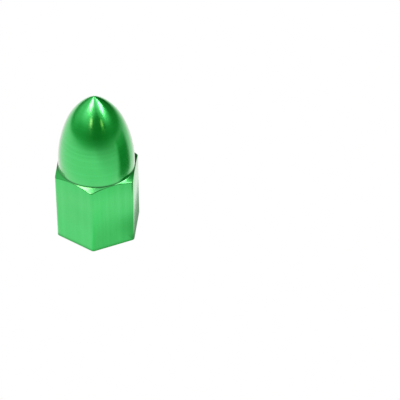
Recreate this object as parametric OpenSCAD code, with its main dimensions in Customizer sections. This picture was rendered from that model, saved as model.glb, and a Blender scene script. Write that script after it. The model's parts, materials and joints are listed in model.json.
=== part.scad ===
// Screw-on cap for a tyre valve stem, turned from hexagonal bar, with a bullet-shaped nose.
// It stands on its mouth: Z is the axis, z = 0 is the mouth's face, and sizes are in millimetres.

/* [Hexagonal grip] */
// Width of the bar across its flats
across_flats = 10; // [9.6:0.1:11]
// Radius left on the corners of the drawn bar
corner_radius = 0.4; // [0.1:0.05:0.5]
// Length of the grip, from the mouth's face to the foot of the nose
grip_length = 10; // [8.5:0.5:14]
// Slope of the turned shoulder at the nose end of the grip, in degrees from level
shoulder_slope = 30; // [15:5:45]

/* [Nose] */
// How far the foot of the nose is turned in from the flats
foot_inset = 0.1; // [0.05:0.05:0.4]
// Height of the straight land at the foot of the nose
foot_land = 0.5; // [0.3:0.1:0.8]
// Radius of the fillet between the shoulder and the foot of the nose
root_fillet = 0.15; // [0.05:0.05:0.25]
// Radius of the long flank arc, which starts upright above the land
flank_radius = 16.2; // [15:0.2:20]
// Height of the flank arc
flank_height = 5.9; // [5:0.1:6.2]
// Length of the nose, from its foot to its tip
nose_length = 10.7; // [10.5:0.1:12]
// Radius of the rounding at the tip
tip_radius = 0.25; // [0.1:0.05:0.8]

/* [Threaded hole] */
// Diameter of the countersink where it meets the mouth's face
countersink_width = 8.7; // [8:0.1:9]
// Included angle of the countersink, in degrees
countersink_angle = 90; // [80:5:120]
// Diameter of the hole at the crests of its 8V1 valve thread
thread_bore = 6.9; // [6.6:0.1:7.2]
// Depth from the mouth's face at which the thread runs out
thread_depth = 8; // [6.5:0.5:9]
// Diameter of the groove that the thread runs out into
groove_width = 8; // [7.9:0.1:8.4]
// Height of the groove
groove_height = 1.6; // [1.3:0.1:2]
// Included angle of the drill's point, in degrees
drill_point = 118; // [90:2:140]

/* [Sealing washer] */
// Gap all round between the washer and the wall of the groove
washer_gap = 0.2; // [0.1:0.05:0.3]
// Thickness of the washer
washer_thickness = 1.2; // [0.8:0.1:1.3]
// Diameter of the hole in the washer, which clears the valve's core pin
washer_hole = 3.6; // [3:0.1:4.5]

/* [Hidden] */
$fn = 120;
// Length by which a cutting shape, or the bar, runs past the face that ends there
overrun = 1;
// Each arc of the nose stands this much over the one below, so that rounding leaves no step
arc_overlap = 0.0002;

// The hexagon: centres of its corner radii, and a reach that clears its corners
corner_centre = (across_flats / 2 - corner_radius) / cos(30);
blank_reach = across_flats / 2 / cos(30) + overrun;

// The nose: straight land, long flank arc, shorter crown arc and a small tip, each tangent to the next
foot_radius = across_flats / 2 - foot_inset;
flank_foot = grip_length + foot_land;
flank_top = flank_foot + flank_height;
flank_turn = asin(flank_height / flank_radius);
flank_top_radius = foot_radius - flank_radius * (1 - cos(flank_turn));
tip_centre = grip_length + nose_length - tip_radius;
// The crown arc touches the top of the flank arc, and touches the tip's circle from outside
tip_to_flank = [flank_top_radius, flank_top - tip_centre];
flank_normal = [cos(flank_turn), sin(flank_turn)];
crown_radius = (tip_to_flank * tip_to_flank - tip_radius ^ 2)
    / (2 * (tip_to_flank * flank_normal - tip_radius));
crown_centre = [flank_top_radius, flank_top] - crown_radius * flank_normal;
crown_to_tip = [0, tip_centre] - crown_centre;
crown_end = crown_centre + crown_to_tip * crown_radius / norm(crown_to_tip);

// The fillet's centre lies one radius from the foot of the nose and from the shoulder
root_centre = [
    foot_radius + root_fillet,
    grip_length + root_fillet * (1 - sin(shoulder_slope)) / cos(shoulder_slope)
];
root_on_shoulder = root_centre - root_fillet * [sin(shoulder_slope), cos(shoulder_slope)];

// The hole
bore_radius = thread_bore / 2;
countersink_depth = (countersink_width / 2 - bore_radius) / tan(countersink_angle / 2);
seat_height = thread_depth + groove_height;
drill_tip = seat_height + bore_radius / tan(drill_point / 2);

// Cross-section of the drawn bar: a hexagon with a small radius on each corner
module bar_section() {
    corners = [for (turn = [0:60:300]) corner_centre * [cos(turn), sin(turn)]];
    // Each flat runs between the points where two neighbouring corner radii touch it
    flats = [
        for (i = [0:5], end = [-30, 30])
            corners[i] + corner_radius * [cos(60 * i + end), sin(60 * i + end)]
    ];
    polygon(flats);
    for (corner = corners)
        translate(corner) circle(r = corner_radius);
}

// The part of a circle about centre that lies between two heights and right of the axis
module arc_band(centre, radius, low, high) {
    intersection() {
        translate(centre) circle(r = radius);
        translate([0, low]) square([foot_radius + overrun, high - low]);
    }
}

// Half section of the nose, from the root of the land to the tip
module nose_section() {
    translate([0, grip_length]) square([foot_radius, foot_land]);
    arc_band([foot_radius - flank_radius, flank_foot], flank_radius, flank_foot, flank_top);
    arc_band(crown_centre, crown_radius + arc_overlap, flank_foot, crown_end[1]);
    arc_band([0, tip_centre], tip_radius + 2 * arc_overlap, flank_top, tip_centre + overrun);
}

// Half section of the grip: upright to the shoulder, which slopes to the fillet under the nose
module shoulder_section() {
    drop = (blank_reach - foot_radius) * tan(shoulder_slope);
    difference() {
        polygon([
            [0, 0],
            [blank_reach, 0],
            [blank_reach, grip_length - drop],
            root_on_shoulder,
            root_centre,
            [foot_radius, root_centre[1]],
            [0, root_centre[1]]
        ]);
        translate(root_centre) circle(r = root_fillet);
    }
}

// Half section of everything cut out from the mouth: countersink, thread, groove and drill point
module hole_section() {
    polygon([
        [0, -overrun],
        [countersink_width / 2 + overrun * tan(countersink_angle / 2), -overrun],
        [bore_radius, countersink_depth],
        [bore_radius, thread_depth],
        [groove_width / 2, thread_depth],
        [groove_width / 2, seat_height],
        [bore_radius, seat_height],
        [0, drill_tip]
    ]);
}

// Turned from the bar in one piece: the bar, cut down to the turned outline, less the hole
module cap_body() {
    color("limegreen")
        difference() {
            intersection() {
                linear_extrude(grip_length + nose_length + overrun) bar_section();
                rotate_extrude() {
                    shoulder_section();
                    nose_section();
                }
            }
            rotate_extrude() hole_section();
        }
}

// Flat rubber washer, wider than the thread's crests, so the groove keeps it against its seat
module sealing_washer() {
    outer_radius = groove_width / 2 - washer_gap;
    color("dimgray")
        rotate_extrude()
            translate([washer_hole / 2, seat_height - washer_thickness])
                square([outer_radius - washer_hole / 2, washer_thickness]);
}

cap_body();
sealing_washer();
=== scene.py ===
# Tyre valve cap, dressed: one turned and drawn aluminium body and one rubber washer.
import json
import math
from collections import namedtuple

import bmesh
import bpy
from mathutils import Matrix, Vector


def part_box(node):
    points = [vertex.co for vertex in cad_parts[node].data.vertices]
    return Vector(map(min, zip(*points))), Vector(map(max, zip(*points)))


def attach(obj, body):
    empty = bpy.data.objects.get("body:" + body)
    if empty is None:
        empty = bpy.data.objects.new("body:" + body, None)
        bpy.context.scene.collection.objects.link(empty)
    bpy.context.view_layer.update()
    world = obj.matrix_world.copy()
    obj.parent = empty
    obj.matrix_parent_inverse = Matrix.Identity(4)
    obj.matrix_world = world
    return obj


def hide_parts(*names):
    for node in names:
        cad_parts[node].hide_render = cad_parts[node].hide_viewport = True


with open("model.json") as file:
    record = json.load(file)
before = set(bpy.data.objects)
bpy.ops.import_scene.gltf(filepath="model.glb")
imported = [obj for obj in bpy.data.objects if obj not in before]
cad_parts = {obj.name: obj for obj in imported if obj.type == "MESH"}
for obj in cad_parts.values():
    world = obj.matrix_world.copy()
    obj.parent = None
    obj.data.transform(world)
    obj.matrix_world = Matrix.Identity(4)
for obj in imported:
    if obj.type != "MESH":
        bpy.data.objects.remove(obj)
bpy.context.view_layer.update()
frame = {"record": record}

bl_info = {
    "name": "Tyre Valve Cap",
    "version": (1, 0, 0),
    "blender": (4, 5, 0),
    "location": "3D View > Sidebar > Valve Cap",
    "description": "Builds a green anodised tyre valve cap with a bullet-shaped nose and a tapped hole",
    "category": "Add Mesh",
}

MM = 0.001
MICRON = 0.001 * MM
FULL_TURN = 2 * math.pi
ORIGIN = (0.0, 0.0, 0.0)
UP = (0.0, 0.0, 1.0)
DOWN = (0.0, 0.0, -1.0)

# Sizes that the frame gives
BODY_LOW, BODY_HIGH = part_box("cap_body")
WASHER_LOW, WASHER_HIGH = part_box("sealing_washer")
THREAD_MOUNT = next(m for m in frame["record"]["mounts"] if m["name"] == "valve_thread")

# Steps round the outside: each of the six corners and flats gets the same ones
CORNER_STEPS = 6
FLAT_CUTS = 25
OUTSIDE_STEPS = 6 * (CORNER_STEPS + FLAT_CUTS + 1)
# Steps round the hole, the washer and the table
HOLE_STEPS = 96
WASHER_STEPS = 96
TABLE_STEPS = 128
# Steps along the outlines
SHOULDER_RINGS = 4
FILLET_STEPS = 6
FLANK_STEPS = 26
CROWN_STEPS = 26
TIP_STEPS = 6
EDGE_BREAK_STEPS = 3
WASHER_CORNER_STEPS = 6
# Steps along one pitch of the thread
THREAD_ROWS = 32

# Points closer than this are one point
WELD = 0.00002 * MM
# Faces that meet at more than this angle keep a sharp edge
SHARP_ANGLE = math.radians(32)
# A face is upright, or nearly so, if its normal rises by less than this
UPRIGHT = 0.01
NEARLY_UPRIGHT = 0.1

# Slots of the body's materials
TURNED = 0
DRAWN = 1
TAPPED = 2
FACED = 3

# Marks spread light across themselves: how far, in turns, from the direction round the axis
ACROSS_RINGS = 0.25
ACROSS_LINES = 0.0

# Sockets of a mix node that hold its colours
MIX_FIRST = 6
MIX_SECOND = 7
MIX_RESULT = 2

# What the camera sees of the table and the room
WHITE = (1.0, 1.0, 1.0)


def length(name, description, default):
    """A property for a length in metres."""
    return bpy.props.FloatProperty(
        name=name, description=description, default=default, unit="LENGTH", precision=5
    )


def angle(name, description, degrees):
    """A property for an angle, with its default in degrees."""
    return bpy.props.FloatProperty(
        name=name, description=description, default=math.radians(degrees),
        unit="ROTATION", subtype="ANGLE",
    )


def colour(name, description, default):
    """A property for a colour in linear light."""
    return bpy.props.FloatVectorProperty(
        name=name, description=description, default=default,
        size=3, min=0.0, max=1.0, subtype="COLOR",
    )


def factor(name, description, default):
    """A property for a number from 0 to 1."""
    return bpy.props.FloatProperty(
        name=name, description=description, default=default, min=0.0, max=1.0, subtype="FACTOR"
    )


class CapSizes(bpy.types.PropertyGroup):
    """Sizes of the outside of the aluminium body"""

    across_flats: length(
        "Across flats", "Width of the hexagonal grip across its flats", BODY_HIGH.y - BODY_LOW.y
    )
    corner_radius: length("Corner radius", "Radius left on the corners of the drawn bar", 0.4 * MM)
    height: length("Height", "Whole height, from the mouth to the tip", BODY_HIGH.z - BODY_LOW.z)
    grip_length: length("Grip length", "Length of the grip, up to the foot of the nose", 10.0 * MM)
    shoulder_slope: angle("Shoulder slope", "Slope of the turned shoulder, from level", 30)
    foot_radius: length("Foot radius", "Radius of the nose at its foot", 4.9 * MM)
    foot_land: length("Foot land", "Height of the straight land at the nose's foot", 0.5 * MM)
    root_fillet: length("Root fillet", "Radius between the shoulder and the nose's foot", 0.15 * MM)
    flank_radius: length("Flank radius", "Radius of the long arc of the nose's outline", 16.2 * MM)
    flank_height: length("Flank height", "Height of the long arc of the nose's outline", 5.9 * MM)
    tip_radius: length("Tip radius", "Radius of the rounding at the tip", 0.25 * MM)
    edge_break: length("Edge break", "Width of the fine rounding on the turned edges", 0.07 * MM)


class HoleSizes(bpy.types.PropertyGroup):
    """Sizes of the tapped hole"""

    countersink_radius: length(
        "Countersink radius", "Radius of the countersink at the mouth's face", 4.35 * MM
    )
    crest_radius: length(
        "Crest radius",
        "Radius of the hole at the crests of its thread",
        THREAD_MOUNT["dims"]["r_mm"] * MM,
    )
    thread_height: length(
        "Thread height", "How far the thread's root lies behind its crest", 0.43 * MM
    )
    pitch: length("Pitch", "Rise of the thread in one turn: 32 threads an inch", 25.4 * MM / 32)
    thread_depth: length(
        "Thread depth", "Depth at which the thread runs out into the groove", 8.0 * MM
    )
    groove_radius: length("Groove radius", "Radius of the groove behind the thread", 4.0 * MM)
    seat_height: length("Seat height", "Height of the seat behind the washer", WASHER_HIGH.z)
    drill_angle: angle("Drill angle", "Included angle of the drill's point", 118)


class WasherSizes(bpy.types.PropertyGroup):
    """Sizes of the rubber washer"""

    outer_radius: length("Outer radius", "Outer radius of the washer", WASHER_HIGH.x)
    hole_radius: length("Hole radius", "Radius of the washer's hole", 1.8 * MM)
    corner_radius: length("Corner radius", "Rounding of the washer's edges", 0.2 * MM)
    flash: length("Flash", "Height of the moulding line round the washer", 0.04 * MM)


class CapFinish(bpy.types.PropertyGroup):
    """Colours and roughness of the finishes"""

    anodised_green: colour(
        "Anodised green", "Colour of the dyed oxide over bright aluminium", (0.055, 0.67, 0.145)
    )
    nose_roughness: factor("Nose roughness", "Roughness of the turned surfaces", 0.2)
    flat_roughness: factor("Flat roughness", "Roughness of the drawn flats", 0.22)
    hole_roughness: factor("Hole roughness", "Roughness of the tapped hole", 0.32)
    face_roughness: factor("Face roughness", "Roughness of the shoulder and the mouth's face", 0.21)
    rubber_black: colour("Rubber black", "Colour of the washer's rubber", (0.02, 0.02, 0.021))


class StageSettings(bpy.types.PropertyGroup):
    """Camera, table and lights"""

    view_azimuth: angle("View azimuth", "Direction of the camera round the cap", -24.6)
    view_elevation: angle("View elevation", "Height of the camera above the horizon", 39.7)
    view_distance: length("View distance", "Distance from the camera to its aim", 303.4 * MM)
    lens: bpy.props.FloatProperty(
        name="Lens",
        description="Focal length on a sensor 36 mm wide",
        default=207.0,
        unit="CAMERA",
    )
    table_radius: length("Table radius", "Radius of the pale table", 0.5)
    table_glow: bpy.props.FloatProperty(
        name="Table glow",
        description="How bright the pale table is in reflections, with white at 1",
        default=0.9,
        min=0.0,
    )


def polar(radius, turn, z):
    """The point at a radius and an angle about the axis, at height z."""
    return Vector((radius * math.cos(turn), radius * math.sin(turn), z))


def radius_of(point):
    """Distance of a point from the axis."""
    return math.hypot(point.x, point.y)


def angle_of(point):
    """Angle of a point about the axis, from 0 to a full turn."""
    return math.atan2(point.y, point.x) % FULL_TURN


def arc(centre, radius, start, end, steps):
    """Points (radius, z) along an arc of the outline, without its first point."""
    turns = [start + (end - start) * i / steps for i in range(1, steps + 1)]
    return [(centre[0] + radius * math.cos(t), centre[1] + radius * math.sin(t)) for t in turns]


class Outline:
    """The turned outline of the shoulder and the nose."""

    def __init__(self, sizes):
        self.slope = sizes.shoulder_slope
        self.sizes = sizes
        fillet = sizes.root_fillet
        rise = fillet * (1 - math.sin(self.slope)) / math.cos(self.slope)
        self.root_centre = (sizes.foot_radius + fillet, sizes.grip_length + rise)
        # Where the fillet touches the shoulder
        self.shoulder_end = (
            self.root_centre[0] - fillet * math.sin(self.slope),
            self.root_centre[1] - fillet * math.cos(self.slope),
        )

    def shoulder_height(self, radius):
        """Height of the shoulder's cone at a radius."""
        return self.shoulder_end[1] - (radius - self.shoulder_end[0]) * math.tan(self.slope)

    def nose_points(self):
        """Points (radius, z) from the end of the shoulder over the nose to the tip."""
        sizes = self.sizes
        points = [self.shoulder_end]
        fillet_start = 1.5 * math.pi - self.slope
        points += arc(self.root_centre, sizes.root_fillet, fillet_start, math.pi, FILLET_STEPS)
        flank_foot = sizes.grip_length + sizes.foot_land
        points.append((sizes.foot_radius, flank_foot))
        turn = math.asin(sizes.flank_height / sizes.flank_radius)
        flank_centre = (sizes.foot_radius - sizes.flank_radius, flank_foot)
        points += arc(flank_centre, sizes.flank_radius, 0.0, turn, FLANK_STEPS)
        # The crown's arc touches the flank's end and the tip's circle
        flank_end = Vector(points[-1])
        normal = Vector((math.cos(turn), math.sin(turn)))
        tip_centre = Vector((0.0, sizes.height - sizes.tip_radius))
        reach = flank_end - tip_centre
        crown_radius = (reach.dot(reach) - sizes.tip_radius ** 2) / (
            2 * (reach.dot(normal) - sizes.tip_radius)
        )
        crown_centre = flank_end - crown_radius * normal
        to_tip = tip_centre - crown_centre
        crown_turn = math.atan2(to_tip.y, to_tip.x)
        points += arc(crown_centre, crown_radius, turn, crown_turn, CROWN_STEPS)
        points += arc(tip_centre, sizes.tip_radius, crown_turn, math.pi / 2, TIP_STEPS)
        points[-1] = (0.0, sizes.height)
        return points


def wire(bm, points):
    """Joins points (radius, z) into a chain in the plane y = 0. Returns its verts and edges."""
    verts = [bm.verts.new((r, 0.0, z)) for r, z in points]
    edges = [bm.edges.new(pair) for pair in zip(verts, verts[1:])]
    return verts + edges


def turn_on_lathe(bm, geometry, steps, step_rise=0.0, merge=True):
    """Spins an outline all the way round the axis, and up if each step has a rise."""
    bmesh.ops.spin(
        bm,
        geom=geometry,
        cent=ORIGIN,
        axis=UP,
        dvec=(0.0, 0.0, step_rise),
        angle=FULL_TURN,
        steps=steps,
        use_merge=merge,
        use_duplicate=False,
    )


def round_off(bm, geometry, affect, offset, steps):
    """Rounds off verts or edges with arcs."""
    bmesh.ops.bevel(
        bm,
        geom=geometry,
        offset=offset,
        offset_type="OFFSET",
        segments=steps,
        profile=0.5,
        affect=affect,
        clamp_overlap=False,
        material=-1,
    )


def extrude_ring(bm, edges):
    """Extrudes a ring of edges. Returns the new ring's verts and edges."""
    made = bmesh.ops.extrude_edge_only(bm, edges=edges)["geom"]
    verts = [item for item in made if isinstance(item, bmesh.types.BMVert)]
    fresh = set(verts)
    new_edges = [item for item in made if isinstance(item, bmesh.types.BMEdge)]
    # The edges that join the new ring to the old one are left out
    return verts, [e for e in new_edges if e.verts[0] in fresh and e.verts[1] in fresh]


def open_ring(bm, height, reach):
    """The open edges at a height, all of them within reach of the axis."""
    return [
        e
        for e in bm.edges
        if e.is_boundary
        and all(abs(v.co.z - height) < WELD and radius_of(v.co) < reach for v in e.verts)
    ]


def bar_section(bm, sizes):
    """Draws the bar's section at z = 0, a hexagon with rounded corners. Returns its edges."""
    made = bmesh.ops.create_circle(
        bm,
        cap_ends=True,
        radius=sizes.across_flats / 2 / math.cos(math.pi / 6),
        segments=6,
        matrix=Matrix.Rotation(math.pi / 2, 4, "Z"),
    )
    offset = sizes.corner_radius * math.tan(math.pi / 6)
    round_off(bm, made["verts"], "VERTICES", offset, CORNER_STEPS)
    sides = [e for e in bm.edges if e.calc_length() > sizes.across_flats / 4]
    bmesh.ops.subdivide_edges(bm, edges=sides, cuts=FLAT_CUTS)
    bmesh.ops.delete(bm, geom=bm.faces[:], context="FACES_ONLY")
    return bm.edges[:]


class BarRing:
    """Keeps, for each vert of the bar's section, its place and the even angle it is drawn to.

    The values are layers of the mesh, and an extruded vert has those of the vert it came from.
    """

    def __init__(self, bm):
        layers = bm.verts.layers.float
        self.radius = layers.new("bar_radius")
        self.turn = layers.new("bar_turn")
        self.even = layers.new("even_turn")
        step = FULL_TURN / OUTSIDE_STEPS
        # A vert on the X axis may come out a hair under a full turn
        ordered = sorted(bm.verts, key=lambda v: (angle_of(v.co) + step / 100) % FULL_TURN)
        if len(ordered) != OUTSIDE_STEPS:
            raise RuntimeError(f"the bar's section has {len(ordered)} points, not {OUTSIDE_STEPS}")
        for i, v in enumerate(ordered):
            now = angle_of(v.co)
            v[self.radius] = radius_of(v.co)
            v[self.even] = i * step
            v[self.turn] = now + round((i * step - now) / FULL_TURN) * FULL_TURN

    def place(self, verts, share, end_radius, height):
        """Puts verts that share of the way to an even circle, on the surface height(radius)."""
        for v in verts:
            radius = v[self.radius] + (end_radius - v[self.radius]) * share
            turn = v[self.turn] + (v[self.even] - v[self.turn]) * share
            v.co = polar(radius, turn, height(radius))


def build_grip(bm, sizes, outline):
    """Flats, shoulder up to its fillet, and the outer band of the mouth's face."""
    # The outer band goes this share of the way to an even circle of this radius
    band_share, band_radius = 0.4, 0.46 * sizes.across_flats
    section = bar_section(bm, sizes)
    ring = BarRing(bm)
    verts, edges = extrude_ring(bm, section)
    ring.place(verts, 0.0, 0.0, outline.shoulder_height)
    end_radius = outline.shoulder_end[0]
    for i in range(1, SHOULDER_RINGS + 1):
        verts, edges = extrude_ring(bm, edges)
        ring.place(verts, i / SHOULDER_RINGS, end_radius, outline.shoulder_height)
    verts, _ = extrude_ring(bm, section)
    ring.place(verts, band_share, band_radius, lambda radius: 0.0)


def thread_share(turns):
    """How deep the thread is cut, from 0 at its crest to 1 at its root, at a share of a turn."""
    # Where crest and root begin, off the root's middle, and how much of the cut is rounded
    crest_start, root_half, soft = 0.375, 0.0625, 0.1
    off_root = abs(turns % 1.0 - 0.5)
    cut = (crest_start - off_root) / (crest_start - root_half)
    # The corners of crest and root are a little rounded
    if cut < soft:
        return max(cut + soft, 0.0) ** 2 / (4 * soft)
    if cut > 1 - soft:
        return 1 - max(1 + soft - cut, 0.0) ** 2 / (4 * soft)
    return cut


def build_thread(bm, hole):
    """A right-hand thread, cut off by the countersink at the mouth and by the groove above."""
    # Turns that are drawn past the mouth and past the groove, and laid flat there
    turns_below, turns_above = 2, 1
    # The countersink's break at the mouth's face
    break_width, break_slope = 0.04 * MM, 2.4

    def thread_radius(turn, z):
        return hole.crest_radius + hole.thread_height * thread_share(
            z / hole.pitch - turn / FULL_TURN
        )

    def countersink_radius(z):
        # It narrows by as much as it deepens, and faster in the break
        break_radius = hole.countersink_radius + break_width
        return max(hole.countersink_radius - z, break_radius - break_slope * z)

    rise = hole.pitch / THREAD_ROWS
    row_count = round(hole.thread_depth / rise) + (turns_below + turns_above) * THREAD_ROWS
    heights = [-turns_below * hole.pitch + rise * i for i in range(row_count)]
    before = set(bm.verts)
    outline = wire(bm, [(thread_radius(0.0, z), z) for z in heights])
    turn_on_lathe(bm, outline, HOLE_STEPS, hole.pitch / HOLE_STEPS, merge=False)
    thread = [v for v in bm.verts if v not in before]
    for v in thread:
        step = round(angle_of(v.co) / FULL_TURN * HOLE_STEPS)
        turn = step / HOLE_STEPS * FULL_TURN
        z = min(max(v.co.z, 0.0), hole.thread_depth)
        v.co = polar(max(thread_radius(turn, z), countersink_radius(z)), turn, z)
    bmesh.ops.remove_doubles(bm, verts=thread, dist=WELD)
    bmesh.ops.dissolve_degenerate(bm, edges=bm.edges[:], dist=WELD)


def build_hole(bm, hole):
    """The tapped hole, its groove, the washer's seat and the drill's point."""
    build_thread(bm, hole)
    verts, _ = extrude_ring(bm, open_ring(bm, hole.thread_depth, hole.groove_radius))
    for v in verts:
        v.co = polar(hole.groove_radius, angle_of(v.co), hole.thread_depth)
    drill_height = hole.crest_radius / math.tan(hole.drill_angle / 2)
    inside = [
        (hole.groove_radius, hole.thread_depth),
        (hole.groove_radius, hole.seat_height),
        (hole.crest_radius, hole.seat_height),
        (hole.crest_radius / 2, hole.seat_height + drill_height / 2),
        (0.0, hole.seat_height + drill_height),
    ]
    turn_on_lathe(bm, wire(bm, inside), HOLE_STEPS)


def fill_mouth(bm, hole):
    """Closes the mouth's face between the bar's outer band and the countersink."""
    band_width = 0.1 * MM
    reach = hole.countersink_radius + band_width
    verts, _ = extrude_ring(bm, open_ring(bm, 0.0, reach))
    for v in verts:
        v.co = polar(reach, angle_of(v.co), 0.0)
    rims = [e for e in bm.edges if e.is_boundary and all(abs(v.co.z) < WELD for v in e.verts)]
    bmesh.ops.triangle_fill(bm, use_beauty=True, use_dissolve=False, edges=rims, normal=DOWN)


def break_edges(bm, sizes):
    """Rounds the turned edges of the bar a little: round the mouth and along the shoulder."""
    layer = bm.verts.layers.float["bar_radius"]

    def on_bar(v):
        return v.co.z >= -WELD and v[layer] > 0 and abs(radius_of(v.co) - v[layer]) < WELD

    edges = [
        e
        for e in bm.edges
        if all(on_bar(v) for v in e.verts)
        and sum(abs(f.normal.z) < UPRIGHT for f in e.link_faces) == 1
    ]
    round_off(bm, edges, "EDGES", sizes.edge_break, EDGE_BREAK_STEPS)


def give_materials(bm, sizes, hole):
    """Gives each face the slot of the tool that made it."""
    # How far inside the flats a face of the bar can lie, and how high the faced rim of the hole is
    margin, rim_height = 0.01 * MM, 0.3 * MM
    bar_reach = sizes.across_flats / 2 - margin
    for f in bm.faces:
        centre = f.calc_center_median()
        radius = radius_of(centre)
        inside = f.normal.x * centre.x + f.normal.y * centre.y < 0
        if radius > bar_reach and abs(f.normal.z) < NEARLY_UPRIGHT:
            f.material_index = DRAWN
        elif inside and radius < hole.groove_radius + WELD and centre.z > rim_height:
            f.material_index = TAPPED
        elif radius > sizes.foot_radius or centre.z < sizes.grip_length / 2:
            f.material_index = FACED
        else:
            f.material_index = TURNED


def shade(bm):
    """Smooth faces, with sharp edges kept where two faces meet at a real angle."""
    for f in bm.faces:
        f.smooth = True
    for e in bm.edges:
        e.smooth = e.calc_face_angle(math.pi) < SHARP_ANGLE


def check_closed(bm, name):
    """Stops the script if the shape has a hole in it or is inside out."""
    loose = sum(not e.is_manifold for e in bm.edges)
    if loose:
        raise RuntimeError(f"{name} has {loose} edges that don't join two faces")
    if bm.calc_volume(signed=True) <= 0:
        raise RuntimeError(f"{name} is inside out")


def mesh_object(name, bm, materials):
    """Makes an object of the finished mesh and puts it in the scene."""
    mesh = bpy.data.meshes.new(name)
    bm.to_mesh(mesh)
    bm.free()
    for material in materials:
        mesh.materials.append(material)
    obj = bpy.data.objects.new(name, mesh)
    bpy.context.scene.collection.objects.link(obj)
    return obj


def add_piece(bm, name, materials, node):
    """Makes the finished mesh a piece that rides on the frame and stands for a CAD node."""
    check_closed(bm, name)
    piece = mesh_object(name, bm, materials)
    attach(piece, "root")
    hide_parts(node)


class ShaderNodes:
    """A node tree, and short ways to add to it."""

    def __init__(self, tree):
        self.tree = tree
        self.tree.nodes.clear()

    def add(self, kind, **settings):
        """A new node with those settings."""
        node = self.tree.nodes.new(kind)
        for key, value in settings.items():
            setattr(node, key, value)
        return node

    def fill(self, node, values):
        """Joins outputs to a node's inputs, or sets the inputs to numbers or colours."""
        for name, value in values.items():
            if isinstance(value, bpy.types.NodeSocket):
                self.tree.links.new(value, node.inputs[name])
            else:
                node.inputs[name].default_value = value

    def ramp(self, value, start, end, low, high, shape="SMOOTHSTEP"):
        """Maps start..end to low..high, and holds the ends beyond."""
        node = self.add("ShaderNodeMapRange", interpolation_type=shape, clamp=True)
        self.fill(node, {"Value": value, "From Min": start, "From Max": end})
        self.fill(node, {"To Min": low, "To Max": high})
        return node.outputs["Result"]

    def maths(self, operation, first, second):
        """The result of an operation on two outputs or numbers."""
        node = self.add("ShaderNodeMath", operation=operation)
        self.fill(node, {0: first, 1: second})
        return node.outputs[0]

    def vector_maths(self, operation, first, second, result="Value"):
        """The result of an operation on two outputs or vectors."""
        node = self.add("ShaderNodeVectorMath", operation=operation)
        self.fill(node, {0: first, 1: second})
        return node.outputs[result]

    def mixed(self, amount, first, second):
        """A colour or output mixed into another by an amount."""
        node = self.add("ShaderNodeMix", data_type="RGBA")
        first, second = [(*c, 1.0) if isinstance(c, tuple) else c for c in (first, second)]
        self.fill(node, {"Factor": amount, MIX_FIRST: first, MIX_SECOND: second})
        return node.outputs[MIX_RESULT]


class FinishNodes(ShaderNodes):
    """The node tree of a finish, with a Principled shader."""

    def __init__(self, name):
        self.material = bpy.data.materials.new(name)
        self.material.use_nodes = True
        super().__init__(self.material.node_tree)
        self.shader = self.add("ShaderNodeBsdfPrincipled")
        output = self.add("ShaderNodeOutputMaterial")
        self.fill(output, {"Surface": self.shader.outputs["BSDF"]})
        self.place = self.add("ShaderNodeTexCoord").outputs["Object"]

    def scaled(self, factors):
        """The place on the piece, with each axis multiplied."""
        return self.vector_maths("MULTIPLY", self.place, factors, "Vector")

    def noise(self, vector, scale, detail, roughness=0.5):
        """Noise from 0 to 1."""
        node = self.add("ShaderNodeTexNoise", noise_dimensions="3D")
        self.fill(node, {"Vector": vector, "Scale": scale})
        self.fill(node, {"Detail": detail, "Roughness": roughness})
        return node.outputs["Fac"]

    def spread(self, value, low, high):
        """Maps a noise's usual range to low..high."""
        start, end = 0.3, 0.7
        return self.ramp(value, start, end, low, high, "LINEAR")

    def bump(self, height, distance, below=None):
        """A bump whose height of 1 stands for a distance in metres."""
        node = self.add("ShaderNodeBump")
        self.fill(node, {"Strength": 1.0, "Distance": distance, "Height": height})
        if below is not None:
            self.fill(node, {"Normal": below})
        return node.outputs["Normal"]

    def round_the_axis(self):
        """The direction round the axis at each place, for the grain of turned or drawn metal."""
        return self.vector_maths("CROSS_PRODUCT", UP, self.place, "Vector")

    def height(self):
        """The height of the place on the piece."""
        parts = self.add("ShaderNodeSeparateXYZ")
        self.fill(parts, {0: self.place})
        return parts.outputs["Z"]

    def painted_root_shade(self, colour_output, root_shade_colour):
        """Painted shade: the colour is darker in the root, where the nose rises from the shoulder."""
        # Height of the root's middle, and how far from it the painted shade starts and stops fading
        middle, core, reach = 10.06 * MM, 0.05 * MM, 0.2 * MM
        off = self.maths("SUBTRACT", self.height(), middle)
        near = self.ramp(self.maths("ABSOLUTE", off, 0.0), core, reach, 1.0, 0.0, "LINEAR")
        return self.mixed(near, colour_output, root_shade_colour)

    def lathe_place(self):
        """The place as radius and height only, so that a pattern on it runs in rings."""
        radius = self.vector_maths("DISTANCE", self.scaled((1.0, 1.0, 0.0)), ORIGIN)
        joined = self.add("ShaderNodeCombineXYZ")
        self.fill(joined, {"X": radius, "Z": self.height()})
        return joined.outputs["Vector"]


def darker(colour_value, share):
    """A colour times a share."""
    return tuple(c * share for c in colour_value)


# Tool marks: the places they are drawn on, how close they lie and how deep they go
Marks = namedtuple("Marks", "place scale depth")


def turned_marks(nodes):
    """Rings left by the lathe's tool: fine grooves, and faint bands where it dwelt."""
    rings = nodes.lathe_place()
    fine = Marks(rings, scale=16000.0, depth=0.2 * MICRON)
    return fine, Marks(rings, scale=3000.0, depth=1.2 * MICRON)


def faced_marks(nodes):
    """Coarser rings, left by a quick cut across the end of the bar."""
    rings = nodes.lathe_place()
    fine = Marks(rings, scale=9000.0, depth=0.3 * MICRON)
    return fine, Marks(rings, scale=2600.0, depth=6.0 * MICRON)


def drawn_marks(nodes):
    """Lines along the bar, left by the die it was drawn through."""
    stretch = 0.008
    lines = nodes.scaled((1.0, 1.0, stretch))
    fine = Marks(lines, scale=5000.0, depth=0.3 * MICRON)
    return fine, Marks(lines, scale=1800.0, depth=0.7 * MICRON)


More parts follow.
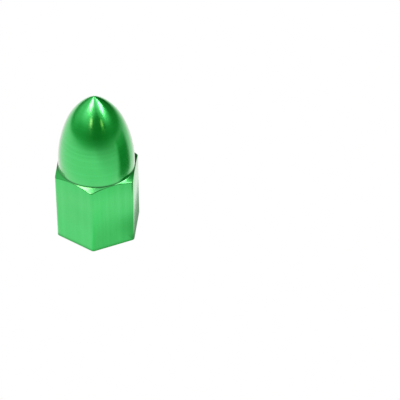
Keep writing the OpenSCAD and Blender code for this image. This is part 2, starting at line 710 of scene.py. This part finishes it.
def tapped_marks(nodes):
    """The rougher, torn surface that the tap leaves."""
    torn = Marks(nodes.place, scale=9000.0, depth=1.0 * MICRON)
    return torn, Marks(nodes.lathe_place(), scale=5000.0, depth=0.8 * MICRON)


def anodised_finish(
    name, finish, roughness, marks, grain, across, coat=1.0, uneven=(0.2, 0.07, 0.14), dye_share=1.0
):
    """Dyed, sealed oxide over aluminium. marks(nodes) returns the fine and the broad tool marks.

    grain is how much they spread the light and across is in which direction. uneven is how much
    each channel of the dye varies, and dye_share multiplies its colour.
    """
    coat_share, roughness_range, root_shade_share = 0.8, 0.15, 0.6
    marks_share, clouds_share, clouds_scale = 0.6, 0.4, 260.0
    nodes = FinishNodes(name)
    green = darker(finish.anodised_green, dye_share)
    fine_marks, broad_marks = marks(nodes)
    fine = nodes.noise(fine_marks.place, fine_marks.scale, detail=3.0)
    broad = nodes.noise(broad_marks.place, broad_marks.scale, detail=2.0)
    clouds = nodes.noise(nodes.place, clouds_scale, detail=2.0)
    # The dye takes a little unevenly over the part, and along the tool marks
    along_marks = nodes.spread(broad, 0.0, marks_share)
    dye = nodes.maths("ADD", along_marks, nodes.spread(clouds, 0.0, clouds_share))
    pale = tuple(c * (1 + u) for c, u in zip(green, uneven))
    deep = tuple(c * (1 - u) for c, u in zip(green, uneven))
    smoothest, roughest = roughness * (1 - roughness_range), roughness * (1 + roughness_range)
    relief = nodes.bump(broad, broad_marks.depth)
    relief = nodes.bump(fine, fine_marks.depth, relief)
    metal = {
        # The base colour carries a painted shade in the root
        "Base Color": nodes.painted_root_shade(nodes.mixed(dye, deep, pale), darker(green, root_shade_share)),
        "Metallic": 1.0,
        "Roughness": nodes.spread(fine, smoothest, roughest),
        "Normal": relief,
        "Anisotropic": grain,
        "Anisotropic Rotation": across,
        "Tangent": nodes.round_the_axis(),
    }
    oxide = {
        "Coat Weight": coat,
        "Coat Roughness": roughness * coat_share,
        "Coat IOR": 1.5,
        "Coat Normal": relief,
    }
    nodes.fill(nodes.shader, {**metal, **oxide})
    return nodes.material


def body_materials(finish):
    """The body's materials, in the order of their slots."""
    turned = anodised_finish(
        "green_turned", finish, finish.nose_roughness, turned_marks, grain=0.6, across=ACROSS_RINGS
    )
    drawn = anodised_finish(
        "green_drawn", finish, finish.flat_roughness, drawn_marks, grain=0.3, across=ACROSS_LINES,
        coat=0.85, uneven=(0.27, 0.06, 0.15),
    )
    tapped = anodised_finish(
        "green_tapped", finish, finish.hole_roughness, tapped_marks, grain=0.2, across=ACROSS_RINGS
    )
    faced = anodised_finish(
        "green_faced", finish, finish.face_roughness, faced_marks, grain=0.3, across=ACROSS_RINGS,
        dye_share=0.8,
    )
    return turned, drawn, tapped, faced


def rubber_finish(finish):
    """Moulded black rubber with a fine dull grain."""
    grain_scale, grain_depth, dust_scale = 14000.0, 4.0 * MICRON, 1500.0
    clean, dusty = darker(finish.rubber_black, 0.8), darker(finish.rubber_black, 1.6)
    smoothest, roughest = 0.5, 0.72
    nodes = FinishNodes("moulded_rubber")
    grain = nodes.noise(nodes.place, grain_scale, detail=4.0, roughness=0.6)
    dust = nodes.noise(nodes.place, dust_scale, detail=3.0)
    rubber = {
        "Base Color": nodes.mixed(nodes.spread(dust, 0.0, 1.0), clean, dusty),
        "Roughness": nodes.spread(grain, smoothest, roughest),
        "Normal": nodes.bump(grain, grain_depth),
    }
    nodes.fill(nodes.shader, rubber)
    return nodes.material


class CAP_OT_build_body(bpy.types.Operator):
    """Build the aluminium body: hexagonal grip, turned shoulder and nose, and tapped hole"""

    bl_idname = "valve_cap.build_body"
    bl_label = "Build Body"
    bl_options = {"REGISTER", "UNDO"}

    def execute(self, context):
        sizes = context.scene.cap_sizes
        hole = context.scene.hole_sizes
        bm = bmesh.new()
        outline = Outline(sizes)
        build_grip(bm, sizes, outline)
        turn_on_lathe(bm, wire(bm, outline.nose_points()), OUTSIDE_STEPS)
        build_hole(bm, hole)
        fill_mouth(bm, hole)
        bmesh.ops.remove_doubles(bm, verts=bm.verts[:], dist=WELD)
        bmesh.ops.recalc_face_normals(bm, faces=bm.faces[:])
        break_edges(bm, sizes)
        give_materials(bm, sizes, hole)
        shade(bm)
        materials = body_materials(context.scene.cap_finish)
        add_piece(bm, "valve_cap_body", materials, "cap_body")
        return {"FINISHED"}


class CAP_OT_build_washer(bpy.types.Operator):
    """Build the rubber washer against its seat in the groove"""

    bl_idname = "valve_cap.build_washer"
    bl_label = "Build Washer"
    bl_options = {"REGISTER", "UNDO"}

    def execute(self, context):
        sizes = context.scene.washer_sizes
        low, high = WASHER_LOW.z, WASHER_HIGH.z
        wall = sizes.outer_radius - sizes.flash
        # The moulding line's cuts, and how close to the middle the outer two are drawn
        line_cuts, line_share = 3, 0.12
        bm = bmesh.new()
        section = (
            (sizes.hole_radius, low),
            (wall, low),
            (wall, high),
            (sizes.hole_radius, high),
        )
        corners = [bm.verts.new((r, 0.0, z)) for r, z in section]
        bm.faces.new(corners)
        round_off(bm, corners, "VERTICES", sizes.corner_radius, WASHER_CORNER_STEPS)
        # The moulding line stands out halfway up the outer wall
        outer = [e for e in bm.edges if all(v.co.x > wall - WELD for v in e.verts)]
        made = bmesh.ops.subdivide_edges(bm, edges=outer, cuts=line_cuts)["geom_inner"]
        middle = (low + high) / 2
        for v in made:
            if isinstance(v, bmesh.types.BMVert):
                if abs(v.co.z - middle) > WELD:
                    v.co.z = middle + (v.co.z - middle) * line_share
                else:
                    v.co.z = middle
                    v.co.x += sizes.flash
        bmesh.ops.delete(bm, geom=bm.faces[:], context="FACES_ONLY")
        turn_on_lathe(bm, bm.verts[:] + bm.edges[:], WASHER_STEPS)
        bmesh.ops.remove_doubles(bm, verts=bm.verts[:], dist=WELD)
        bmesh.ops.recalc_face_normals(bm, faces=bm.faces[:])
        shade(bm)
        rubber = rubber_finish(context.scene.cap_finish)
        add_piece(bm, "valve_cap_washer", [rubber], "sealing_washer")
        return {"FINISHED"}


def toward(azimuth, elevation):
    """The level or raised direction at an azimuth, where 0 is -Y, turning towards +X."""
    return Vector(
        (
            math.sin(azimuth) * math.cos(elevation),
            -math.cos(azimuth) * math.cos(elevation),
            math.sin(elevation),
        )
    )


def aim_at(obj, place, target):
    """Puts a light or camera at a place, looking at a target."""
    obj.location = place
    obj.rotation_mode = "QUATERNION"
    obj.rotation_quaternion = (target - place).to_track_quat("-Z", "Y")


def softbox(name, stage, side, elevation, width, height, brightness, tint):
    """A rectangular soft light.

    Angles are in degrees. side is its azimuth from the camera's, and width and height are what
    it fills of the view from the cap.
    """
    distance = 0.6
    target = Vector((0.0, 0.0, 13.0 * MM))
    light = bpy.data.lights.new(name, "AREA")
    light.shape = "RECTANGLE"
    light.size = 2 * distance * math.tan(math.radians(width / 2))
    light.size_y = 2 * distance * math.tan(math.radians(height / 2))
    light.energy = brightness * math.pi * light.size * light.size_y
    light.color = tint
    obj = bpy.data.objects.new(name, light)
    bpy.context.scene.collection.objects.link(obj)
    direction = toward(stage.view_azimuth + math.radians(side), math.radians(elevation))
    aim_at(obj, target + direction * distance, target)


class GlowNodes(ShaderNodes):
    """The node tree of a stage surface or of the room, which only gives off light."""

    def __init__(self, tree, output):
        super().__init__(tree)
        self.output = self.add(output)
        self.seen = self.add("ShaderNodeLightPath").outputs["Is Camera Ray"]

    def rise(self, value, start, end, high=1.0, shape="SMOOTHSTEP"):
        """From 0 at the start to high at the end."""
        return self.ramp(value, start, end, 0.0, high, shape)

    def fall(self, value, start, end, high=1.0):
        """From high at the start to 0 at the end."""
        return self.ramp(value, start, end, high, 0.0)

    def product(self, first, *others):
        """Outputs multiplied together."""
        for other in others:
            first = self.maths("MULTIPLY", first, other)
        return first

    def along(self, place, direction):
        """How far a place lies along a direction."""
        return self.vector_maths("DOT_PRODUCT", place, direction)

    def finish(self, reflected, direct, kind="ShaderNodeEmission"):
        """Shows one colour in reflections, and another straight to the camera."""
        glow = self.add(kind)
        shown = self.mixed(self.seen, reflected, direct)
        self.fill(glow, {"Strength": 1.0, "Color": shown})
        self.fill(self.output, {"Surface": glow.outputs[0]})


class TableNodes(GlowNodes):
    """The table's nodes. Each painted shade or painted light is mixed into the glow that reflections
    see.
    """

    # The flats lie this far off the axis, and a shade beside one begins just inside it
    FLAT = 5.0 * MM
    INSIDE = 4.9 * MM
    # The tones that the shades mix in, in linear light
    FAR = (0.125, 0.45, 0.22)
    RIGHT = (0.25, 0.4, 0.28)
    LIGHT_RING = (1.15, 0.93, 1.03)
    WIDE_BEHIND = (1.1, 0.9, 1.0)
    NARROW_BEHIND = (1.32, 1.23, 1.32)
    UNDER = (0.35, 0.4, 0.35)
    FRONT_SHADE = (0.08, 0.5, 0.2)
    LEFT_SHADE = (0.3, 0.95, 0.6)
    LIGHT_STRIP = (1.15, 1.15, 1.15)
    CORNER_SHADE = (0.04, 0.3, 0.1)
    THIRD = (0.24, 0.34, 0.25)

    def __init__(self, tree, stage):
        super().__init__(tree, "ShaderNodeOutputMaterial")
        self.azimuth = stage.view_azimuth
        self.place = self.add("ShaderNodeTexCoord").outputs["Object"]
        self.distance = self.vector_maths("DISTANCE", self.place, ORIGIN)
        self.across = self.along(self.place, (1.0, 0.0, 0.0))
        self.back = self.along(self.place, (0.0, 1.0, 0.0))
        # Off the axis towards the front flat, towards the third flat, and away from the left one
        self.sides = [self.along(self.place, toward(math.radians(60 * k), 0.0)) for k in range(3)]

    def near_and_far(self, brightness):
        """A little less than white near the cap, and dimmer and greener far away."""
        fade = self.rise(self.distance, start=60.0 * MM, end=400.0 * MM)
        return self.mixed(fade, (brightness,) * 3, self.FAR)

    def dimmer_to_the_right(self, glow):
        """It grows dimmer to the right, fast near the cap and slower further off."""
        side = math.radians(85)
        right = self.along(self.place, toward(self.azimuth + side, 0.0))
        fast = self.rise(right, start=7.0 * MM, end=30.0 * MM, high=0.43, shape="LINEAR")
        slow = self.rise(right, start=30.0 * MM, end=110.0 * MM, high=0.4)
        return self.mixed(self.maths("ADD", fast, slow), glow, self.RIGHT)

    def light_ring_round_the_cap(self, glow):
        """A painted ring of paler, less green light, which the tops of the flats reflect."""
        inner = self.rise(self.distance, start=10.5 * MM, end=14.5 * MM, high=0.7)
        outer = self.fall(self.distance, start=16.0 * MM, end=23.0 * MM)
        return self.mixed(self.product(inner, outer), glow, self.LIGHT_RING)

    def bright_behind(self, glow):
        """It is brightest right behind the cap."""
        behind = self.along(self.place, toward(self.azimuth + math.pi, 0.0))
        close = self.fall(self.distance, start=35.0 * MM, end=100.0 * MM)
        # The cosine of the angle off the direction right behind
        cosine = self.maths("DIVIDE", behind, self.distance)
        wide = self.product(self.rise(cosine, start=0.5, end=0.92, high=0.8), close)
        narrow = self.product(self.rise(cosine, start=0.9, end=1.0, high=0.8), close)
        glow = self.mixed(wide, glow, self.WIDE_BEHIND)
        return self.mixed(narrow, glow, self.NARROW_BEHIND)

    def shade_of_the_cap(self, glow):
        """Where the cap stands on it, it is in the cap's shade."""
        front, third, left = [self.maths("ABSOLUTE", side, 0.0) for side in self.sides]
        off = self.maths("MAXIMUM", self.maths("MAXIMUM", front, third), left)
        touch = self.fall(off, start=self.FLAT, end=5.35 * MM)
        return self.mixed(touch, glow, self.UNDER)

    def shade_before_front_flat(self, glow):
        """A painted green shade before the front flat."""
        front = self.sides[0]
        share = self.product(
            self.fall(front, start=6.5 * MM, end=11.5 * MM, high=0.4),
            self.rise(front, start=self.INSIDE, end=self.FLAT),
            self.rise(self.across, start=-4.5 * MM, end=-2.5 * MM),
        )
        return self.mixed(share, glow, self.FRONT_SHADE)

    def shade_beside_left_flat(self, glow):
        """A little painted green shade beside the left flat, which lies below zero on its side's scale.
        """
        left = self.sides[2]
        share = self.product(
            self.rise(left, start=-9.5 * MM, end=-self.FLAT, high=0.3),
            self.rise(left, start=-self.INSIDE, end=-self.FLAT),
            self.fall(self.back, start=2.0 * MM, end=4.0 * MM),
        )
        return self.mixed(share, glow, self.LEFT_SHADE)

    def light_strip_beside_third_flat(self, glow):
        """A painted pale strip of light beside the third flat."""
        third = self.sides[1]
        share = self.product(
            self.fall(third, start=6.5 * MM, end=7.5 * MM, high=0.6),
            self.rise(third, start=5.3 * MM, end=5.8 * MM),
            self.rise(self.back, start=-4.0 * MM, end=-1.0 * MM),
        )
        return self.mixed(share, glow, self.LIGHT_STRIP)

    def shade_off_the_corner(self, glow):
        """A dark painted shade off the corner before the third flat."""
        centre = toward(math.radians(36), 0.0) * 8.2 * MM
        off = self.vector_maths("DISTANCE", self.place, centre)
        share = self.fall(off, start=1.0 * MM, end=4.0 * MM, high=0.42)
        return self.mixed(share, glow, self.CORNER_SHADE)

    def shade_beside_third_flat(self, glow):
        """A narrow shade close to the third flat."""
        third = self.sides[1]
        share = self.product(
            self.fall(third, start=5.55 * MM, end=5.95 * MM),
            self.rise(third, start=self.INSIDE, end=self.FLAT),
            self.rise(self.back, start=-6.0 * MM, end=-5.0 * MM),
        )
        return self.mixed(share, glow, self.THIRD)


def stage_mesh(name, bm, material):
    """Makes an object of a stage mesh, with its one material."""
    obj = mesh_object(name, bm, [material])
    return obj


class CAP_OT_build_stage(bpy.types.Operator):
    """Build the pale table, the room, the soft lights, the dark card and the camera"""

    bl_idname = "valve_cap.build_stage"
    bl_label = "Build Stage"
    bl_options = {"REGISTER", "UNDO"}

    def execute(self, context):
        stage = context.scene.stage_settings
        self.build_table(stage)
        self.build_room(context.scene, stage)
        self.build_lights(stage)
        self.build_card(stage)
        self.build_camera(context.scene, stage)
        context.scene.view_settings.view_transform = "Standard"
        return {"FINISHED"}

    def build_table(self, stage):
        """A round table that only gives off light, so that nothing on it throws a shadow."""
        # A hair under the cap, so that the two faces don't lie in each other
        drop = 0.01 * MM
        bm = bmesh.new()
        bmesh.ops.create_circle(bm, cap_ends=True, radius=stage.table_radius, segments=TABLE_STEPS)
        material = bpy.data.materials.new("pale_table")
        material.use_nodes = True
        nodes = TableNodes(material.node_tree, stage)
        glow = nodes.near_and_far(stage.table_glow)
        glow = nodes.dimmer_to_the_right(glow)
        glow = nodes.light_ring_round_the_cap(glow)
        glow = nodes.bright_behind(glow)
        glow = nodes.shade_of_the_cap(glow)
        glow = nodes.shade_before_front_flat(glow)
        glow = nodes.shade_beside_left_flat(glow)
        glow = nodes.light_strip_beside_third_flat(glow)
        glow = nodes.shade_off_the_corner(glow)
        glow = nodes.shade_beside_third_flat(glow)
        nodes.finish(glow, WHITE)
        table = stage_mesh("pale_table", bm, material)
        table.location.z = -drop

    def build_room(self, scene, stage):
        """A dim room, brighter at the left and overhead, behind a white background."""
        world = bpy.data.worlds.new("room")
        world.use_nodes = True
        scene.world = world
        nodes = GlowNodes(world.node_tree, "ShaderNodeOutputWorld")
        place = nodes.add("ShaderNodeTexCoord").outputs["Generated"]

        def lobe(side, elevation, edge, strength):
            """A soft patch of light round a direction. edge is the cosine at its rim."""
            middle = toward(stage.view_azimuth + math.radians(side), math.radians(elevation))
            return nodes.rise(nodes.along(place, middle), edge, 1.0, strength)

        # Everywhere a dim light, which grows towards the point overhead
        edge, dim, bright = 0.74, 0.19, 0.92
        light = nodes.ramp(nodes.along(place, UP), edge, 1.0, dim, bright, "LINEAR")
        # Three lobes up high, two wide glows at the sides, and a darker horizon behind the cap
        for patch in (
            lobe(side=-108, elevation=45, edge=0.68, strength=0.45),
            lobe(side=-52, elevation=56, edge=0.78, strength=0.5),
            lobe(side=80, elevation=52, edge=0.8, strength=0.55),
            lobe(side=-90, elevation=0, edge=-0.1, strength=0.15),
            lobe(side=95, elevation=8, edge=0.2, strength=0.05),
            lobe(side=162, elevation=2, edge=0.8, strength=-0.13),
        ):
            light = nodes.maths("ADD", light, patch)
        # The dim parts of the room are greener than the bright ones
        red_power, blue_power = 2.3, 1.8
        red = nodes.maths("POWER", light, red_power)
        blue = nodes.maths("POWER", light, blue_power)
        joined = nodes.add("ShaderNodeCombineColor")
        nodes.fill(joined, {"Red": red, "Green": light, "Blue": blue})
        nodes.finish(joined.outputs[0], WHITE, "ShaderNodeBackground")

    def build_lights(self, stage):
        """Two soft lights and two small lamps, all tinted red, seen in the polished nose."""
        softbox(
            "left_softbox", stage, side=-58, elevation=64, width=22, height=22,
            brightness=8.6, tint=(1.0, 0.58, 0.51),
        )
        softbox(
            "right_softbox", stage, side=86, elevation=49, width=28, height=14,
            brightness=9.5, tint=(1.0, 0.6, 0.72),
        )
        softbox(
            "left_lamp", stage, side=-20, elevation=38, width=9, height=12,
            brightness=4.4, tint=(1.0, 0.31, 0.3),
        )
        softbox(
            "right_lamp", stage, side=38, elevation=33, width=7, height=6,
            brightness=4.0, tint=(1.0, 0.45, 0.25),
        )

    def build_card(self, stage):
        """A dark green card beside the cap that glows a little though it is no lamp: a painted dark
        reflection and shade, which the cap reflects and the camera doesn't see.
        """
        side, reach, width, tall = math.radians(84), 16.6 * MM, 15.8 * MM, 14.3 * MM
        middle_tone, top_tone = (0.03, 0.24, 0.08), (0.12, 0.42, 0.2)
        near_tone, far_tone = (0.55, 0.7, 0.6), (0.62, 0.54, 0.58)
        bm = bmesh.new()
        bmesh.ops.create_grid(bm, x_segments=1, y_segments=1, size=0.5)
        bmesh.ops.scale(bm, vec=(width, tall, 1.0), verts=bm.verts[:])
        material = bpy.data.materials.new("painted_reflection_card")
        material.use_nodes = True
        nodes = GlowNodes(material.node_tree, "ShaderNodeOutputMaterial")
        # Its top and sides are paler, so that its reflection has soft edges there
        place = nodes.add("ShaderNodeTexCoord").outputs["Object"]
        across = nodes.along(place, (1.0, 0.0, 0.0))
        up = nodes.along(place, (0.0, 1.0, 0.0))
        top = nodes.rise(up, start=0.175 * tall, end=0.5 * tall)
        green = nodes.mixed(top, middle_tone, top_tone)
        toward_camera = nodes.fall(across, start=-8.5 * MM, end=-4.0 * MM)
        green = nodes.mixed(toward_camera, green, near_tone)
        away = nodes.rise(across, start=4.3 * MM, end=8.3 * MM, shape="LINEAR")
        green = nodes.mixed(away, green, far_tone)
        nodes.finish(green, green)
        card = stage_mesh("painted_reflection_card", bm, material)
        card.visible_camera = False
        card.visible_shadow = False
        height = Vector((0.0, 0.0, tall / 2))
        aim_at(card, height + toward(stage.view_azimuth + side, 0.0) * reach, height)

    def build_camera(self, scene, stage):
        """The camera at the photograph's angle, with the cap left of the middle."""
        # The middle of the picture shows this point of the table, to the right of the cap
        target = Vector((13.953 * MM, -1.219 * MM, 0.0))
        camera = bpy.data.cameras.new("camera")
        camera.lens = stage.lens
        camera.sensor_width = 36.0
        camera.clip_start = 0.01
        camera.clip_end = 10.0
        obj = bpy.data.objects.new("camera", camera)
        scene.collection.objects.link(obj)
        back = toward(stage.view_azimuth, stage.view_elevation)
        aim_at(obj, target + back * stage.view_distance, target)
        scene.camera = obj


class CAP_PT_panel(bpy.types.Panel):
    """Lists the steps and settings of the cap"""

    bl_idname = "CAP_PT_panel"
    bl_label = "Valve Cap"
    bl_space_type = "VIEW_3D"
    bl_region_type = "UI"
    bl_category = "Valve Cap"

    def draw(self, context):
        for operator in OPERATORS:
            self.layout.operator(operator.bl_idname)
        for name, group in SETTINGS.items():
            box = self.layout.box()
            box.label(text=group.__doc__)
            for key in group.__annotations__:
                box.prop(getattr(context.scene, name), key)


SETTINGS = {
    "cap_sizes": CapSizes,
    "hole_sizes": HoleSizes,
    "washer_sizes": WasherSizes,
    "cap_finish": CapFinish,
    "stage_settings": StageSettings,
}
OPERATORS = (CAP_OT_build_body, CAP_OT_build_washer, CAP_OT_build_stage)
CLASSES = (*SETTINGS.values(), *OPERATORS, CAP_PT_panel)


def register():
    for cls in CLASSES:
        bpy.utils.register_class(cls)
    for name, group in SETTINGS.items():
        setattr(bpy.types.Scene, name, bpy.props.PointerProperty(type=group))


def unregister():
    for name in SETTINGS:
        delattr(bpy.types.Scene, name)
    for cls in reversed(CLASSES):
        bpy.utils.unregister_class(cls)


def main():
    register()
    bpy.ops.valve_cap.build_body()
    bpy.ops.valve_cap.build_washer()
    bpy.ops.valve_cap.build_stage()


if __name__ == "__main__":
    main()
